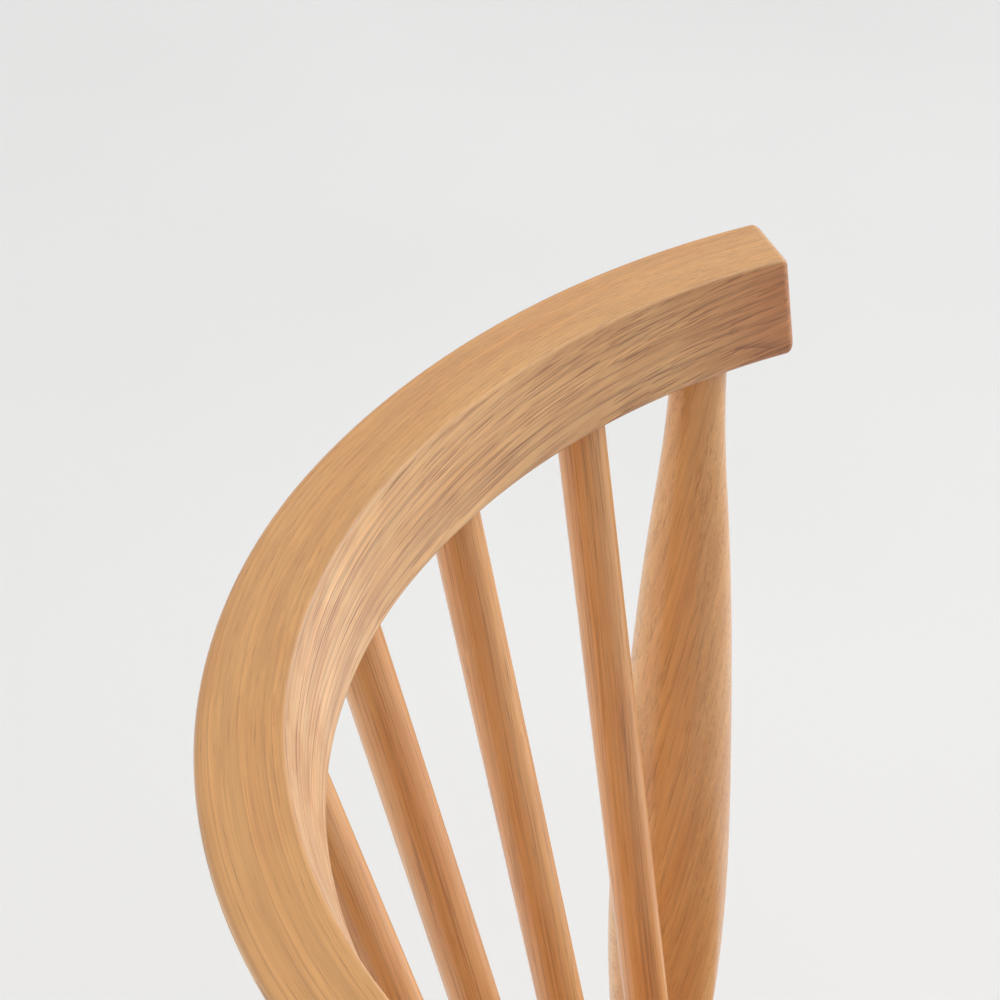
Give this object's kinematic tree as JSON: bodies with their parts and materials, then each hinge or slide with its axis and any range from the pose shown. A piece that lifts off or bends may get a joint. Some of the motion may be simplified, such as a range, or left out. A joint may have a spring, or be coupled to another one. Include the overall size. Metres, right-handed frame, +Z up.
{
  "type": "wooden armchair",
  "caption": "Low-backed oak armchair: a bent rail with short arms on slim splayed spindles and stout turned posts, over a round dished seat on raked turned legs with stretchers.",
  "frame": {"origin": "on the floor, midway between the seat's front edge and the back of the bow, on the chair's middle plane", "axes": "+Z up, the chair faces -Y, +X is the sitter's left"},
  "size_m": [0.5478, 0.4998, 0.857],
  "materials": {
    "bow_oak": "clear satin lacquer on bent oak",
    "spindle_oak": "clear satin lacquer on turned oak",
    "seat_oak": "clear satin lacquer on flat-sawn oak",
    "leg_oak": "clear satin lacquer on turned oak",
    "wedge_oak": "end grain, clear satin lacquer",
    "glide_nylon": "moulded nylon",
    "nail_steel": "bright steel"
  },
  "bodies": {
    "root": {"bow": "bow_oak", "foot_glides": "glide_nylon", "glide_nails": "nail_steel", "leg_front_left": "leg_oak", "leg_front_right": "leg_oak", "leg_rear_left": "leg_oak", "leg_rear_right": "leg_oak", "leg_wedges": "wedge_oak", "post_left": "spindle_oak", "post_right": "spindle_oak", "post_wedges": "wedge_oak", "seat_board_1": "seat_oak", "seat_board_2": "seat_oak", "seat_board_3": "seat_oak", "seat_board_4": "seat_oak", "seat_board_5": "seat_oak", "spindle_1": "spindle_oak", "spindle_2": "spindle_oak", "spindle_3": "spindle_oak", "spindle_4": "spindle_oak", "spindle_5": "spindle_oak", "spindle_6": "spindle_oak", "spindle_7": "spindle_oak", "spindle_8": "spindle_oak", "spindle_9": "spindle_oak", "stretcher_cross": "leg_oak", "stretcher_left": "leg_oak", "stretcher_right": "leg_oak"}
  },
  "joints": []
}
